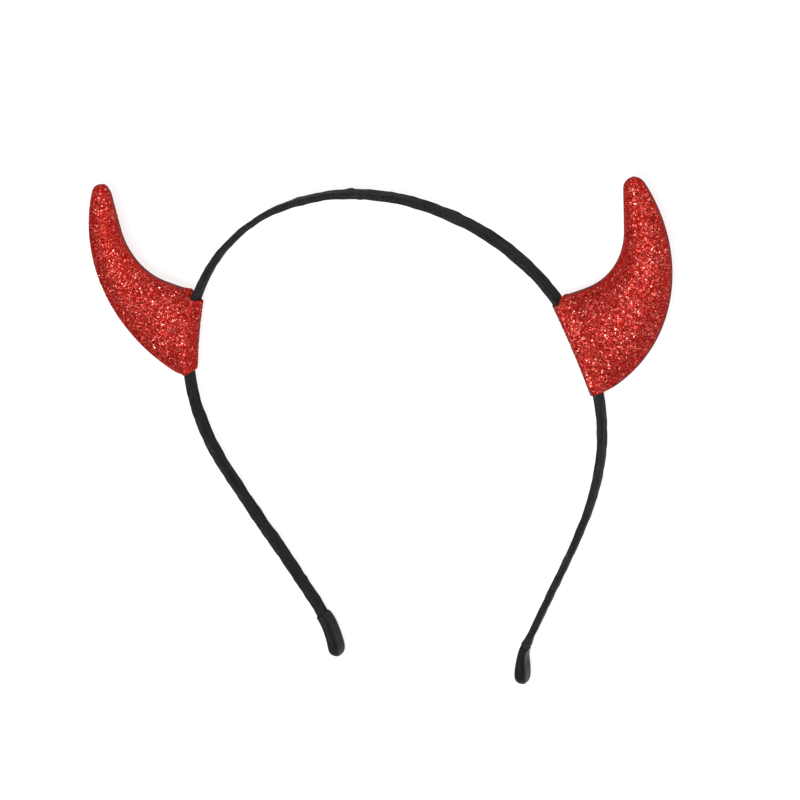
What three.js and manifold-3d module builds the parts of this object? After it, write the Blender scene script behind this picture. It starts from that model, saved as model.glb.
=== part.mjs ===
// Horn headband: a thin satin-covered band, two soft end caps and two padded cloth horns.
// Millimetres, +Z up. The headband lies on its back with the crown of the arch towards +Y.
import * as THREE from 'three';
import { mergeVertices } from 'three/addons/utils/BufferGeometryUtils.js';
import Module from 'manifold-3d';

const { degToRad } = THREE.MathUtils;

// Band: a flat covered strip bent in one plane.
const BAND_WIDTH = 5;
const BAND_THICKNESS = 1.75;
const BAND_EDGE_RADIUS = 0.75;
const BAND_RING_SPACING = 4.5;
// Stretches from the crown down to a tip: length, and the turn of each side in degrees.
// A turn above zero bends the strip in towards the head, and below zero flares it out.
const BAND_STRETCHES = [
  { length: 25, left: 20.4, right: 19 },
  { length: 25, left: 21.9, right: 20.5 },
  { length: 25, left: 23.5, right: 24.5 },
  { length: 25, left: 24.9, right: 23.3 },
  { length: 25, left: 25.4, right: 21 },
  { length: 25, left: 5.8, right: 9.4 },
  { length: 28, left: -3.3, right: -0.3 },
  { length: 10, left: -5.6, right: -4.8 },
  { length: 11.6, left: -26, right: -24.4 },
];
const SIDE_LENGTH = BAND_STRETCHES.reduce((sum, stretch) => sum + stretch.length, 0);

// Sides: which way each lies, where its horn's sleeve starts and ends along the band,
// and how many degrees its horn leans towards the crown.
const SIDES = [
  { name: 'left', sign: -1, sleeveTop: 71.3, sleeveBottom: 97, lean: -2 },
  { name: 'right', sign: 1, sleeveTop: 69, sleeveBottom: 96, lean: 1.1 },
];

// End caps: soft sleeves pushed over the ends of the band.
const CAP_LENGTH = 14.2;
const CAP_EDGE_SHARE = 0.46;
const CAP_END_COVER = 1.2;
// Sections of a cap: distance from its closed end, width and thickness.
const CAP_SECTIONS = [
  { fromEnd: 0.1, width: 3.0, thickness: 1.5 },
  { fromEnd: 0.5, width: 4.6, thickness: 2.4 },
  { fromEnd: 1.3, width: 5.9, thickness: 3.0 },
  { fromEnd: 2.6, width: 6.5, thickness: 3.4 },
  { fromEnd: 5.0, width: 6.7, thickness: 3.5 },
  { fromEnd: 8.0, width: 6.5, thickness: 3.2 },
  { fromEnd: 11.0, width: 6.4, thickness: 3.0 },
  { fromEnd: 13.0, width: 6.6, thickness: 3.3 },
  { fromEnd: CAP_LENGTH, width: 6.4, thickness: 3.2 },
];
const CAP_WIDEST = CAP_SECTIONS.reduce((widest, section) => (
  section.width > widest.width ? section : widest
));

// Horns: outline in a frame whose y axis runs along the sleeve towards the crown, with x outwards.
const CLEARANCE = 0.3;
const CLOTH_WALL = 1.0;
const FOLD_X = -(BAND_THICKNESS / 2 + CLEARANCE + CLOTH_WALL);
const FOLD_DEPTH = 2.6;
const FOLD_STEPS = 4;
const FOLD_BOW = 1.3;
const SLEEVE_HALF_DEPTH = BAND_WIDTH / 2 + CLEARANCE + CLOTH_WALL;
const SLEEVE_OUTER_X = 2;
const UPPER_CORNER = new THREE.Vector2(1.8, 15.6);
const LOWER_CORNER = new THREE.Vector2(1.8, -13.8);
const OUTER_ARC = { center: new THREE.Vector2(-6.6, 30), radius: 43.9 };
const CREST_ARC = { center: new THREE.Vector2(8.8, 34.7), radius: 19.3 };
const TIP_RADIUS = 2.6;
const TIP_ANGLE = degToRad(10.3);
const TIP_MIDDLE = degToRad(84);
// Sections of a horn from the sleeve to the tip: share of each edge's length passed,
// half thickness at the middle and half thickness at the joined edges.
const HORN_SECTIONS = [
  { along: 0.0, crown: 4.0, edge: 1.4 },
  { along: 0.04, crown: 4.2, edge: 0.8 },
  { along: 0.09, crown: 4.6, edge: 0.7 },
  { along: 0.16, crown: 4.9, edge: 0.7 },
  { along: 0.25, crown: 5.0, edge: 0.7 },
  { along: 0.35, crown: 5.0, edge: 0.7 },
  { along: 0.45, crown: 4.8, edge: 0.7 },
  { along: 0.55, crown: 4.5, edge: 0.7 },
  { along: 0.65, crown: 4.1, edge: 0.7 },
  { along: 0.75, crown: 3.7, edge: 0.7 },
  { along: 0.84, crown: 3.2, edge: 0.7 },
  { along: 0.91, crown: 2.7, edge: 0.6 },
  { along: 0.96, crown: 2.0, edge: 0.5 },
  { along: 0.985, crown: 1.3, edge: 0.4 },
  { along: 1.0, crown: 0.0, edge: 0.0 },
];
const HORN_CROWN = Math.max(...HORN_SECTIONS.map(({ crown }) => crown));
const HORN_STEPS_ACROSS = 10;
const HORN_FULLNESS = 2.4;
const HORN_SOFTNESS = 0.8;

// Resting: the cloth flattens where the horns touch the surface, and the caps touch it too.
const BELLY_FLATTENING = 0.45;
const BELLY_OUT = 14;
const FLOOR_SLAB = new THREE.Vector3(260, 260, 12);

// Corners nearer than this are one corner.
const MERGE_DISTANCE = 1e-4;

// A point on the centre line of one side, and its heading below the horizontal at the crown.
function bandStation(side, distance) {
  const station = { x: 0, y: 0, heading: 0 };
  let remaining = distance;
  for (const stretch of BAND_STRETCHES) {
    const run = Math.min(remaining, stretch.length);
    const bend = degToRad(stretch[side.name]) / stretch.length;
    const heading = station.heading + bend * run;
    station.x += (Math.sin(heading) - Math.sin(station.heading)) / bend;
    station.y += (Math.cos(heading) - Math.cos(station.heading)) / bend;
    station.heading = heading;
    remaining -= run;
    if (remaining <= 0) break;
  }
  return station;
}

// A flat section with rounded edges: pairs of across (out of the bending plane) and outward.
function flatSection(width, thickness, edgeRadius) {
  const quarters = [[1, 1, 0], [-1, 1, 90], [-1, -1, 180], [1, -1, 270]];
  const points = [];
  for (const [acrossSign, outwardSign, start] of quarters) {
    for (const share of [0, 0.5, 1]) {
      const angle = degToRad(start + 90 * share);
      points.push({
        across: acrossSign * (width / 2 - edgeRadius) + edgeRadius * Math.cos(angle),
        outward: outwardSign * (thickness / 2 - edgeRadius) + edgeRadius * Math.sin(angle),
      });
    }
  }
  return points;
}

// A ring of points round the band's centre line. sign mirrors the ring to its side.
function bandRing(side, distance, section, sign = 1) {
  const station = bandStation(side, distance);
  const outward = new THREE.Vector3(Math.sin(station.heading), Math.cos(station.heading), 0);
  return section.map((point) => new THREE.Vector3(
    sign * (station.x + point.outward * outward.x),
    station.y + point.outward * outward.y,
    point.across,
  ));
}

// Closes a ring to its middle.
function middleRing(ring) {
  const middle = new THREE.Vector3();
  for (const point of ring) middle.addScaledVector(point, 1 / ring.length);
  return ring.map(() => middle.clone());
}

// A closed skin over rings of equal counts. The end rings may fall together to a line or a point.
function skin(rings) {
  const count = rings[0].length;
  const positions = rings.flat().flatMap((point) => [point.x, point.y, point.z]);
  const index = [];
  for (let ring = 0; ring + 1 < rings.length; ring += 1) {
    for (let step = 0; step < count; step += 1) {
      const here = ring * count + step;
      const beside = ring * count + (step + 1) % count;
      index.push(here, beside, here + count, beside, beside + count, here + count);
    }
  }
  const geometry = new THREE.BufferGeometry();
  geometry.setAttribute('position', new THREE.Float32BufferAttribute(positions, 3));
  geometry.setIndex(index);
  return closed(geometry);
}

// Merges shared corners, drops collapsed triangles and turns the faces outwards.
function closed(geometry) {
  const merged = mergeVertices(geometry, MERGE_DISTANCE);
  const corners = merged.index.array;
  const at = (corner) => new THREE.Vector3().fromBufferAttribute(merged.attributes.position, corner);
  const kept = [];
  let volume = 0;
  for (let corner = 0; corner < corners.length; corner += 3) {
    const [a, b, c] = corners.slice(corner, corner + 3);
    if (a === b || b === c || c === a) continue;
    kept.push([a, b, c]);
    volume += at(a).dot(at(b).cross(at(c)));
  }
  merged.setIndex(kept.flatMap(([a, b, c]) => (volume > 0 ? [a, b, c] : [a, c, b])));
  return merged;
}

const wasm = await Module();
wasm.setup();

function solidOf(geometry) {
  return new wasm.Manifold(new wasm.Mesh({
    numProp: 3,
    vertProperties: new Float32Array(geometry.attributes.position.array),
    triVerts: new Uint32Array(geometry.index.array),
  }));
}

function geometryOf(solid) {
  const mesh = solid.getMesh();
  const geometry = new THREE.BufferGeometry();
  geometry.setAttribute('position', new THREE.Float32BufferAttribute(mesh.vertProperties, 3));
  geometry.setIndex([...mesh.triVerts]);
  return geometry;
}

// The strip along one side between two distances from the crown, closed at both ends.
function stripBetween(side, start, end, grow) {
  const section = flatSection(
    BAND_WIDTH + 2 * grow,
    BAND_THICKNESS + 2 * grow,
    BAND_EDGE_RADIUS + grow,
  );
  const steps = Math.ceil((end - start) / BAND_RING_SPACING);
  const rings = [];
  for (let step = 0; step <= steps; step += 1) {
    rings.push(bandRing(side, start + (end - start) * step / steps, section));
  }
  return skin([middleRing(rings[0]), ...rings, middleRing(rings[steps])]);
}

function makeBand() {
  const section = flatSection(BAND_WIDTH, BAND_THICKNESS, BAND_EDGE_RADIUS);
  const end = SIDE_LENGTH - CAP_END_COVER - CLEARANCE;
  const steps = Math.ceil(end / BAND_RING_SPACING);
  const rings = [];
  for (let step = -steps; step <= steps; step += 1) {
    const side = step < 0 ? SIDES[0] : SIDES[1];
    rings.push(bandRing(side, end * Math.abs(step) / steps, section, side.sign));
  }
  return skin([middleRing(rings[0]), ...rings, middleRing(rings[2 * steps])]);
}

// A cap in the frame of its side, with a pocket for the end of the band.
function makeCap(side) {
  const rings = CAP_SECTIONS.map(({ fromEnd, width, thickness }) => bandRing(
    side,
    SIDE_LENGTH - fromEnd,
    flatSection(width, thickness, thickness * CAP_EDGE_SHARE),
  ));
  const tip = middleRing(bandRing(
    side,
    SIDE_LENGTH,
    flatSection(BAND_WIDTH, BAND_THICKNESS, BAND_EDGE_RADIUS),
  ));
  const body = skin([tip, ...rings, middleRing(rings.at(-1))]);
  const beyondMouth = SIDE_LENGTH - CAP_LENGTH - BAND_RING_SPACING;
  const pocket = stripBetween(side, beyondMouth, SIDE_LENGTH - CAP_END_COVER, CLEARANCE);
  return geometryOf(solidOf(body).subtract(solidOf(pocket)));
}

// The frame of a horn's sleeve: its middle, and its directions outwards and towards the crown.
function sleeveFrame(side) {
  const top = bandStation(side, side.sleeveTop);
  const bottom = bandStation(side, side.sleeveBottom);
  const crownwards = new THREE.Vector2(top.x - bottom.x, top.y - bottom.y);
  return {
    middle: new THREE.Vector2(top.x + bottom.x, top.y + bottom.y).multiplyScalar(0.5),
    half: crownwards.length() / 2,
    crownwards: crownwards.normalize(),
    outwards: new THREE.Vector2(crownwards.y, -crownwards.x),
  };
}

// The crest and outer edges of a horn, each from the sleeve to the middle of the tip.
function hornEdges() {
  const tip = new THREE.Vector2(Math.cos(TIP_ANGLE), Math.sin(TIP_ANGLE));
  tip.multiplyScalar(OUTER_ARC.radius - TIP_RADIUS).add(OUTER_ARC.center);

  // The straight part of the crest edge touches the crest arc and the tip arc from between them.
  const between = tip.clone().sub(CREST_ARC.center);
  const touch = Math.asin((CREST_ARC.radius + TIP_RADIUS) / between.length());
  const rise = between.angle() + touch;
  const { center, radius } = CREST_ARC;
  const crest = new THREE.Path();
  crest.moveTo(UPPER_CORNER.x, UPPER_CORNER.y);
  crest.lineTo(center.x, center.y - radius);
  crest.absarc(center.x, center.y, radius, -Math.PI / 2, rise - Math.PI / 2, false);
  crest.absarc(tip.x, tip.y, TIP_RADIUS, rise + Math.PI / 2, TIP_MIDDLE, true);

  // The lower edge leaves its corner along the line that touches the outer arc.
  const toCorner = LOWER_CORNER.clone().sub(OUTER_ARC.center);
  const start = toCorner.angle() + Math.acos(OUTER_ARC.radius / toCorner.length()) - 2 * Math.PI;
  const touching = new THREE.Vector2(Math.cos(start), Math.sin(start));
  touching.multiplyScalar(OUTER_ARC.radius).add(OUTER_ARC.center);
  const outer = new THREE.Path();
  outer.moveTo(LOWER_CORNER.x, LOWER_CORNER.y);
  outer.lineTo(touching.x, touching.y);
  outer.absarc(OUTER_ARC.center.x, OUTER_ARC.center.y, OUTER_ARC.radius, start, TIP_ANGLE, false);
  outer.absarc(tip.x, tip.y, TIP_RADIUS, TIP_ANGLE, TIP_MIDDLE, false);
  return { crest, outer };
}

// One closed ring of a horn, across its front from the crest edge and back across its rear.
// bow moves its middle outwards.
function hornRing(place, crestPoint, outerPoint, crown, edge, bow = 0) {
  const front = [];
  const rear = [];
  for (let step = 0; step <= HORN_STEPS_ACROSS; step += 1) {
    const share = step / HORN_STEPS_ACROSS;
    const fall = Math.abs(2 * share - 1) ** HORN_FULLNESS;
    const half = edge + (crown - edge) * (1 - fall) ** HORN_SOFTNESS;
    const flat = crestPoint.clone().lerp(outerPoint, share);
    flat.x += bow * (1 - (2 * share - 1) ** 2);
    const spot = place(flat);
    front.push(new THREE.Vector3(spot.x, spot.y, half));
    rear.unshift(new THREE.Vector3(spot.x, spot.y, -half));
  }
  return [...front, ...rear];
}

// A horn in the frame of its side: one cloth folded round the band and joined along its edges.
function makeHorn(side, floor) {
  const frame = sleeveFrame(side);
  const place = (point) => frame.middle.clone()
    .addScaledVector(frame.outwards, point.x)
    .addScaledVector(frame.crownwards, point.y);
  const edges = hornEdges();
  const rings = [];
  for (let step = 0; step <= FOLD_STEPS; step += 1) {
    const turn = Math.PI / 2 * step / FOLD_STEPS;
    const x = FOLD_X + FOLD_DEPTH * (1 - Math.cos(turn));
    const half = SLEEVE_HALF_DEPTH * Math.sin(turn);
    const top = new THREE.Vector2(x, frame.half);
    const bottom = new THREE.Vector2(x, -frame.half);
    rings.push(hornRing(place, top, bottom, half, half, FOLD_BOW * Math.cos(turn)));
  }
  const sleeveTop = new THREE.Vector2(SLEEVE_OUTER_X, frame.half);
  const sleeveBottom = new THREE.Vector2(SLEEVE_OUTER_X, -frame.half);
  rings.push(hornRing(place, sleeveTop, sleeveBottom, SLEEVE_HALF_DEPTH, SLEEVE_HALF_DEPTH));
  const pivot = new THREE.Vector2();
  const lean = degToRad(side.lean);
  for (const { along, crown, edge } of HORN_SECTIONS) {
    const crestPoint = edges.crest.getPointAt(along).rotateAround(pivot, lean);
    const outerPoint = edges.outer.getPointAt(along).rotateAround(pivot, lean);
    rings.push(hornRing(place, crestPoint, outerPoint, crown, edge));
  }
  const reach = 2 * BAND_RING_SPACING;
  const tunnel = stripBetween(side, side.sleeveTop - reach, side.sleeveBottom + reach, CLEARANCE);
  return geometryOf(solidOf(skin(rings)).subtract(solidOf(tunnel)).subtract(floor));
}

// The surface that the headband rests on: height under the caps and under the horns' bellies.
function restingPlane() {
  const belly = SIDES.map((side) => {
    const frame = sleeveFrame(side);
    return frame.middle.y + BELLY_OUT * frame.outwards.y;
  });
  const cap = SIDES.map((side) => bandStation(side, SIDE_LENGTH - CAP_WIDEST.fromEnd).y);
  const bellyY = (belly[0] + belly[1]) / 2;
  const capY = (cap[0] + cap[1]) / 2;
  const bellyDepth = HORN_CROWN - BELLY_FLATTENING;
  const capDepth = CAP_WIDEST.width / 2;
  return { tilt: Math.atan2(bellyDepth - capDepth, bellyY - capY), y: bellyY, z: -bellyDepth };
}

function floorSolid(plane) {
  const slab = new THREE.BoxGeometry(FLOOR_SLAB.x, FLOOR_SLAB.y, FLOOR_SLAB.z);
  slab.deleteAttribute('normal');
  slab.deleteAttribute('uv');
  slab.translate(0, 0, -FLOOR_SLAB.z / 2);
  slab.rotateX(-plane.tilt);
  slab.translate(0, plane.y, plane.z);
  return solidOf(mergeVertices(slab));
}

const satin = { color: '#2e2d2e', roughness: 0.7, metalness: 0 };
const softRubber = { color: '#353538', roughness: 0.45, metalness: 0 };
const glitterCloth = { color: '#b0362f', roughness: 0.5, metalness: 0.1 };

function namedMesh(name, geometry, finish) {
  const mesh = new THREE.Mesh(geometry, new THREE.MeshStandardMaterial(finish));
  mesh.name = name;
  return mesh;
}

const plane = restingPlane();
const floor = floorSolid(plane);
const headband = new THREE.Group();
headband.add(namedMesh('band', makeBand(), satin));
for (const side of SIDES) {
  const half = new THREE.Group();
  half.scale.x = side.sign;
  half.add(namedMesh(`cap_${side.name}`, makeCap(side), softRubber));
  half.add(namedMesh(`horn_${side.name}`, makeHorn(side, floor), glitterCloth));
  headband.add(half);
}
headband.rotation.x = plane.tilt;

// The origin lies on the resting surface, under the middle of the headband's box.
const assembly = new THREE.Group();
assembly.add(headband);
const box = new THREE.Box3().setFromObject(assembly, true);
const middle = box.getCenter(new THREE.Vector3());
headband.position.set(-middle.x, -middle.y, -box.min.z);

export default assembly;
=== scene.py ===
"""Looks of the horn headband: covered band, rubber end caps, padded glitter horns and a plain studio."""

import logging
import math
from collections.abc import Sequence
from dataclasses import dataclass
from enum import Enum

import bmesh
import bpy
import numpy as np
from bpy.types import Material, Mesh, Object
from mathutils import Matrix, Vector
from mathutils.kdtree import KDTree


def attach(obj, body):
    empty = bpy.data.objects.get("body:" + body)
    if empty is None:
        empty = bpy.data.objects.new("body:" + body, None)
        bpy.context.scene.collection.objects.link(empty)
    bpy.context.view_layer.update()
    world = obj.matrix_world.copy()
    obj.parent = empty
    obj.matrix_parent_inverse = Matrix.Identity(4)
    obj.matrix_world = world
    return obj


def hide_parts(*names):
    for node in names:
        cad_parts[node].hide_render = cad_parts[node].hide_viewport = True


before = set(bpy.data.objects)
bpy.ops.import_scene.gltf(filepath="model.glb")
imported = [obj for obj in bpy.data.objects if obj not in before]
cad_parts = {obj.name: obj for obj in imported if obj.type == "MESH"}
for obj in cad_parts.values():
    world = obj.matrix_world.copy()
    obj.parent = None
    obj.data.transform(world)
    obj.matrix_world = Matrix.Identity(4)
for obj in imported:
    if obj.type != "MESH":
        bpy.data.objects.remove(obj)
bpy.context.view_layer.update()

BODY = "root"
log = logging.getLogger("headband")

# Lengths in metres: a millimetre, the gap at which points join, the shortest edge kept, the least divisor
MM = 0.001
MERGE = 0.000001
SLIVER = 0.00001
NO_LENGTH = 1e-12

# The covered band's section in mm
BAND_WIDTH = 5.0
BAND_THICKNESS = 1.75
BAND_EDGE = 0.75

# Points round each joined edge of a horn, and the decimals by which its points in mm are told apart
RIM_POINTS = 3
DECIMALS = 2

# Names that the meshes share with their finishes, and the name of the flakes' own map
ALONG_MAP = "Along"
WEAR = "wear"
TONE = "tone"
BAKE_MAP = "OFBake"

WHITE = (1.0, 1.0, 1.0, 1.0)

Array = np.ndarray
Pair = tuple[float, float]
Triple = tuple[float, float, float]
Ends = tuple[float, float, float, float]
Stops = tuple[tuple[float, Triple], ...]


class Side(Enum):
    """The two sides of the headband, with the sign of their x."""

    LEFT = -1
    RIGHT = 1

    @property
    def word(self) -> str:
        """The side's name in small letters."""
        return self.name.lower()


class Edge(Enum):
    """The two long edges of the band, with the sign of their height."""

    FRONT = 1
    REAR = -1


class Cloth(Enum):
    """The surfaces of a horn, with their material slots."""

    GLITTER = 0
    CUT = 1
    # A strip of painted shade on each horn's fold, in the cut edge's felt
    FOLD_SHADE = 2


# Shader building


class Wire:
    """A shader socket that takes part in Python expressions."""

    def __init__(self, shader: "Shader", socket: bpy.types.NodeSocket | None) -> None:
        """Keeps the socket and the shader that it belongs to."""
        self.shader = shader
        self.socket = socket

    def math(self, operation: str, first: "Wire | float", second: "Wire | float") -> "Wire":
        """Adds one Math node of that operation on two values."""
        return self.shader.node("ShaderNodeMath", {"operation": operation}, {0: first, 1: second})

    def __add__(self, other: "Wire | float") -> "Wire":
        """Adds a value."""
        return self.math("ADD", self, other)

    def __sub__(self, other: "Wire | float") -> "Wire":
        """Takes a value away."""
        return self.math("SUBTRACT", self, other)

    def __rsub__(self, other: "Wire | float") -> "Wire":
        """Takes this away from a value."""
        return self.math("SUBTRACT", other, self)

    def __mul__(self, other: "Wire | float") -> "Wire":
        """Multiplies by a value."""
        return self.math("MULTIPLY", self, other)

    __radd__ = __add__
    __rmul__ = __mul__


Value = Wire | float | tuple[float, ...]


@dataclass(frozen=True)
class Noise:
    """Smooth noise: its lumps to a unit, one number or one each way, and its finer layers."""

    scale: float | Triple
    detail: float = 2.0


class Shader:
    """The node tree of a material or of the world, with one method that adds any node."""

    def __init__(self, owner: Material | bpy.types.World) -> None:
        """Empties a node tree.

        Args:
            owner: What the tree belongs to.
        """
        owner.use_nodes = True
        self.owner = owner
        self.tree = owner.node_tree
        self.tree.nodes.clear()

    def node(
        self,
        kind: str,
        settings: dict[str, object] | None = None,
        values: dict[str | int, Value] | None = None,
        output: str | int = 0,
    ) -> Wire:
        """Adds a node.

        Args:
            kind: The node's type.
            settings: Properties that are set first; stops are a ramp's places and colours.
            values: A constant or a wire for each named or numbered input.
            output: The output that is returned.

        Returns:
            The chosen output.
        """
        made = self.tree.nodes.new(kind)
        for key, setting in (settings or {}).items():
            if key == "stops":
                self.set_stops(made.color_ramp, setting)
            else:
                setattr(made, key, setting)
        for key, value in (values or {}).items():
            if isinstance(value, Wire):
                self.tree.links.new(value.socket, made.inputs[key])
            else:
                made.inputs[key].default_value = value
        return Wire(self, made.outputs[output] if made.outputs else None)

    @staticmethod
    def set_stops(ramp: bpy.types.ColorRamp, stops: Stops) -> None:
        """Gives a ramp its stops.

        Args:
            ramp: The ramp.
            stops: Places from 0 to 1, each with its colour.
        """
        while len(ramp.elements) < len(stops):
            ramp.elements.new(1.0)
        for element, (place, colour) in zip(ramp.elements, stops, strict=True):
            element.position = place
            element.color = (*colour, 1.0)

    def place(self) -> Wire:
        """Gives the place on the piece, in metres."""
        return self.node("ShaderNodeTexCoord", None, None, "Object")

    def attribute(self, name: str) -> Wire:
        """Gives the value that a mesh holds under a name."""
        return self.node("ShaderNodeAttribute", {"attribute_name": name}, None, "Fac")

    def noise(self, vector: Wire, noise: Noise) -> Wire:
        """Adds smooth noise.

        Args:
            vector: Where it is read.
            noise: Its lumps and layers.

        Returns:
            Its value, from 0 to 1.
        """
        scale = noise.scale
        if isinstance(scale, tuple):
            vector = self.node("ShaderNodeMapping", None, {"Vector": vector, "Scale": scale})
            scale = 1.0
        values = {"Vector": vector, "Scale": scale, "Detail": noise.detail}
        return self.node("ShaderNodeTexNoise", None, values)

    def ramp(self, amount: Wire, stops: Stops) -> Wire:
        """Turns an amount into a colour by stops."""
        return self.node("ShaderNodeValToRGB", {"stops": stops}, {"Fac": amount})

    def spread(self, amount: Wire, ends: Ends) -> Wire:
        """Moves an amount from the range of the first two ends to that of the last two, held inside it."""
        values = dict(zip(("From Min", "From Max", "To Min", "To Max"), ends, strict=True))
        return self.node("ShaderNodeMapRange", {"clamp": True}, {"Value": amount, **values})

    @staticmethod
    def blend(shares: Sequence[float], *amounts: Wire) -> Wire:
        """Adds amounts up by their shares."""
        first, *rest = (share * amount for share, amount in zip(shares, amounts, strict=True))
        return sum(rest, first)

    def vector(self, operation: str, *values: Value) -> Wire:
        """Adds one Vector Math node of that operation."""
        return self.node("ShaderNodeVectorMath", {"operation": operation}, dict(enumerate(values)))

    def bump(self, height: Wire, depth: float, strength: float) -> Wire:
        """Turns a height into a normal; a height of 1 measures the depth in metres."""
        values = {"Height": height, "Distance": depth, "Strength": strength}
        return self.node("ShaderNodeBump", None, values)

    def surface(self, colour: Wire, roughness: Value, others: dict[str | int, Value]) -> Material:
        """Ends a material in one surface.

        Args:
            colour: Its colour.
            roughness: Its roughness.
            others: Its other inputs.

        Returns:
            The finished material.
        """
        values = {"Base Color": colour, "Roughness": roughness, **others}
        shade = self.node("ShaderNodeBsdfPrincipled", None, values)
        self.node("ShaderNodeOutputMaterial", None, {"Surface": shade})
        return self.owner


# Finishes


@dataclass(frozen=True)
class SatinFinish:
    """Black satin ribbon: threads along the band, soft worn patches, flecks, and fluff on its edges."""

    tones: Stops = (
        (0.36, (0.008, 0.0079, 0.008)), (0.68, (0.025, 0.0247, 0.0253)), (0.95, (0.075, 0.074, 0.076)),
    )
    threads: Noise = Noise((1.1, 9.0, 1.0), 3.0)
    patches: Noise = Noise((0.11, 0.5, 1.0))
    flecks: Noise = Noise((2.4, 3.2, 1.0), 1.0)
    fluff: Noise = Noise(2300.0)
    fluff_middle: float = 0.43
    worn: Ends = (0.7, 1.0, 0.0, 1.0)
    tone_shares: Triple = (0.4, 0.45, 0.15)
    relief_shares: Pair = (0.7, 0.3)
    roughness: Ends = (0.3, 0.7, 0.72, 0.55)
    depth: float = 0.00008
    strength: float = 0.8
    gloss: float = 0.035

    def make(self) -> Material:
        """Makes the satin.

        Returns:
            Its material.
        """
        shader = Shader(bpy.data.materials.new("black_satin"))
        along = shader.node("ShaderNodeUVMap", {"uv_map": ALONG_MAP})
        threads = shader.noise(along, self.threads)
        patches = shader.noise(along, self.patches)
        flecks = shader.noise(along, self.flecks)
        fluff = shader.noise(shader.place(), self.fluff)
        worn = shader.spread(shader.attribute(WEAR), self.worn)
        tone = shader.blend(self.tone_shares, threads, patches, flecks) + worn * (fluff - self.fluff_middle)
        relief = shader.blend(self.relief_shares, threads, flecks)
        return shader.surface(shader.ramp(tone, self.tones), shader.spread(patches, self.roughness), {
            "Normal": shader.bump(relief, self.depth, self.strength),
            "Specular IOR Level": self.gloss,
        })


@dataclass(frozen=True)
class GrainedFinish:
    """A soft matt stuff, with fine grain over broad patches."""

    name: str
    tones: Stops
    patches: Noise
    grain: Noise
    shares: Pair
    roughness: Ends
    rough_grain: bool
    depth: float
    strength: float
    gloss: float

    def make(self) -> Material:
        """Makes the stuff.

        Returns:
            Its material.
        """
        shader = Shader(bpy.data.materials.new(self.name))
        place = shader.place()
        patches = shader.noise(place, self.patches)
        grain = shader.noise(place, self.grain)
        colour = shader.ramp(shader.blend(self.shares, patches, grain), self.tones)
        rough = shader.spread(grain if self.rough_grain else patches, self.roughness)
        normal = shader.bump(grain, self.depth, self.strength)
        return shader.surface(colour, rough, {"Normal": normal, "Specular IOR Level": self.gloss})


# Smooth black rubber with a little bloom
RUBBER = GrainedFinish(
    "soft_rubber",
    tones=((0.38, (0.0065, 0.0065, 0.007)), (0.72, (0.0155, 0.0155, 0.0168))),
    patches=Noise(260.0, 3.0), grain=Noise(5200.0, 1.0), shares=(0.8, 0.2),
    roughness=(0.3, 0.7, 0.34, 0.5), rough_grain=False, depth=0.00003, strength=0.5, gloss=0.095,
)

# The grey-red felt of the cloth's cut edges and inner side, which also paints the shade on a strip of each
# horn's fold
FELT_AND_FOLD_SHADE = GrainedFinish(
    "cut_edge_and_fold_shade",
    tones=((0.35, (0.085, 0.017, 0.016)), (0.65, (0.2, 0.047, 0.045))),
    patches=Noise(420.0), grain=Noise(2600.0, 3.0), shares=(0.5, 0.5),
    roughness=(0.3, 0.7, 0.8, 0.95), rough_grain=True, depth=0.0001, strength=0.7, gloss=0.15,
)


@dataclass(frozen=True)
class GlitterClothFinish:
    """Red cloth coated with fine glitter, each grain turned its own way."""

    tones: Stops = ((0.2, (0.25, 0.004, 0.003)), (0.5, (0.38, 0.015, 0.011)), (0.85, (0.5, 0.045, 0.035)))
    edge: Triple = (1.0, 0.12, 0.1)
    grain_scale: float = 3000.0
    patches: Noise = Noise(240.0)
    shares: Pair = (0.65, 0.35)
    middle: Triple = (0.5, 0.5, 0.5)
    turn: Triple = (0.3, 0.3, 0.3)
    roughness: Ends = (0.0, 1.0, 0.68, 0.5)
    metallic: float = 0.3
    gloss: float = 0.04

    def make(self) -> Material:
        """Makes the cloth.

        Returns:
            Its material.
        """
        shader = Shader(bpy.data.materials.new("glitter_cloth"))
        place = shader.place()
        cells = {"Vector": place, "Scale": self.grain_scale}
        grain = shader.node("ShaderNodeTexVoronoi", None, cells, "Color")
        apart = shader.node("ShaderNodeSeparateColor", None, {"Color": grain}, 1)
        tone = shader.blend(self.shares, apart, shader.noise(place, self.patches))
        level = shader.node("ShaderNodeNewGeometry", None, None, "Normal")
        lean = shader.vector("SUBTRACT", grain, self.middle)
        turned = shader.vector("MULTIPLY_ADD", lean, self.turn, level)
        return shader.surface(shader.ramp(tone, self.tones), shader.spread(apart, self.roughness), {
            "Normal": shader.vector("NORMALIZE", turned),
            "Metallic": self.metallic,
            "Specular IOR Level": self.gloss,
            "Specular Tint": (*self.edge, 1.0),
        })


@dataclass(frozen=True)
class FlakeFinish:
    """Foil glitter flakes, from deep red to pale red by each flake's own tone."""

    tones: Stops = (
        (0.0, (0.2, 0.002, 0.0015)), (0.4, (0.44, 0.022, 0.016)),
        (0.82, (0.7, 0.09, 0.07)), (1.0, (1.0, 0.38, 0.32)),
    )
    edge: Triple = (0.85, 0.07, 0.058)
    roughness: Ends = (0.0, 1.0, 0.45, 0.33)
    metallic: float = 1.0
    lacquer: float = 0.04
    lacquer_roughness: float = 0.2

    def make(self) -> Material:
        """Makes the foil.

        Returns:
            Its material.
        """
        shader = Shader(bpy.data.materials.new("glitter_flakes"))
        tone = shader.attribute(TONE)
        return shader.surface(shader.ramp(tone, self.tones), shader.spread(tone, self.roughness), {
            "Metallic": self.metallic,
            "Specular Tint": (*self.edge, 1.0),
            "Coat Weight": self.lacquer,
            "Coat Roughness": self.lacquer_roughness,
        })


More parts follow.
